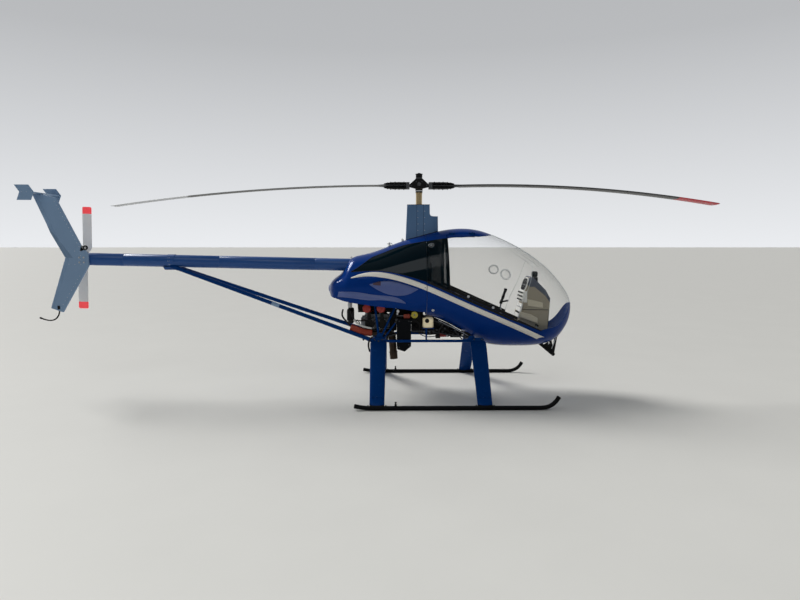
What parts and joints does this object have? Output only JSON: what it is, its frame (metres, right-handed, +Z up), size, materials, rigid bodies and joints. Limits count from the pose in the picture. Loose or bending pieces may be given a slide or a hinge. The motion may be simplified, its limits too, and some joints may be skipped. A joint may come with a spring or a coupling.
{
  "type": "light two-seat helicopter",
  "caption": "Small helicopter with a clear bubble cabin, open engine bay, slender tail boom on two struts, rotor on a tall mast and skid landing gear.",
  "frame": {"origin": "on the ground, on the centre plane, midway between the tail's rear tip and the forward blade's tip", "axes": "+X forward towards the nose, +Y to port, +Z up"},
  "size_m": [7.0812, 1.68, 2.25],
  "materials": {
    "blue_gelcoat": "glossy gelcoat",
    "blue_paint": "glossy paint",
    "clear_acrylic": "clear",
    "tinted_acrylic": "dark tint",
    "black_paint": "satin black",
    "grey_floor": "matte",
    "seat_vinyl": "grained vinyl",
    "beige_moulding": "satin moulded",
    "cast_alloy": "cast",
    "radiator_black": "matte black",
    "exhaust_steel": "heat stained",
    "cream_plastic": "translucent moulded",
    "filter_red": "oiled gauze",
    "mast_bronze": "gold passivated",
    "blade_grey": "satin composite",
    "blade_white": "satin composite"
  },
  "bodies": {
    "airframe": {"cabin_tub": "blue_gelcoat", "engine_cowl": "blue_gelcoat", "cabin_roof": "blue_gelcoat", "mast_fairing": "blue_gelcoat", "windshield": "clear_acrylic", "rear_window_left": "tinted_acrylic", "rear_window_right": "tinted_acrylic", "quarter_window_left": "tinted_acrylic", "quarter_window_right": "tinted_acrylic", "door_arch": "black_paint", "bulkhead": "black_paint", "cabin_floor": "grey_floor", "seat_box": "grey_floor", "front_seat_cushion": "seat_vinyl", "front_seat_back": "seat_vinyl", "rear_seat_cushion": "seat_vinyl", "rear_seat_back": "seat_vinyl", "headrest": "seat_vinyl", "instrument_pod": "beige_moulding", "cyclic_stick": "black_paint", "frame": "blue_paint", "rear_leg_left": "blue_paint", "rear_leg_right": "blue_paint", "front_leg_left": "blue_paint", "front_leg_right": "blue_paint", "skid_left": "black_paint", "skid_right": "black_paint", "tail_boom": "blue_paint", "boom_strut_left": "blue_paint", "boom_strut_right": "blue_paint", "tail_fin": "blue_paint", "stabiliser": "blue_paint", "tail_bumper": "black_paint", "tail_gearbox": "cast_alloy", "engine_block": "cast_alloy", "radiator": "radiator_black", "exhaust": "exhaust_steel", "oil_tank": "cream_plastic", "air_filter_rear": "filter_red", "air_filter_front": "filter_red", "main_gearbox": "cast_alloy", "nose_bracket": "black_paint"},
    "main_rotor": {"rotor_mast": "mast_bronze", "rotor_hub": "black_paint", "blade_grip_front": "black_paint", "blade_grip_rear": "black_paint", "main_blade_front": "blade_grey", "main_blade_rear": "blade_grey"},
    "tail_rotor": {"tail_rotor_hub": "cast_alloy", "tail_blade_upper": "blade_white", "tail_blade_lower": "blade_white"},
    "door_left": {"door_left": "clear_acrylic"},
    "door_right": {"door_right": "clear_acrylic"}
  },
  "joints": [
    {"name": "main_rotor_spin", "type": "hinge", "parent": "airframe", "child": "main_rotor", "pos_m": [0.4404, 0, 2.12], "axis": [0, 0, 1], "continuous": true},
    {"name": "tail_rotor_spin", "type": "hinge", "parent": "airframe", "child": "tail_rotor", "pos_m": [-3.1026, 0.2, 1.378], "axis": [0, 1, 0], "continuous": true},
    {"name": "door_left_hinge", "type": "hinge", "parent": "airframe", "child": "door_left", "pos_m": [0.8669, 0.165, 1.635], "axis": [1, 0, 0], "range_deg": [0, 80]},
    {"name": "door_right_hinge", "type": "hinge", "parent": "airframe", "child": "door_right", "pos_m": [0.8669, -0.165, 1.635], "axis": [-1, 0, 0], "range_deg": [0, 80]}
  ],
  "couplings": [
    {"joint": "tail_rotor_spin", "follows": "main_rotor_spin", "ratio": 5.5}
  ]
}
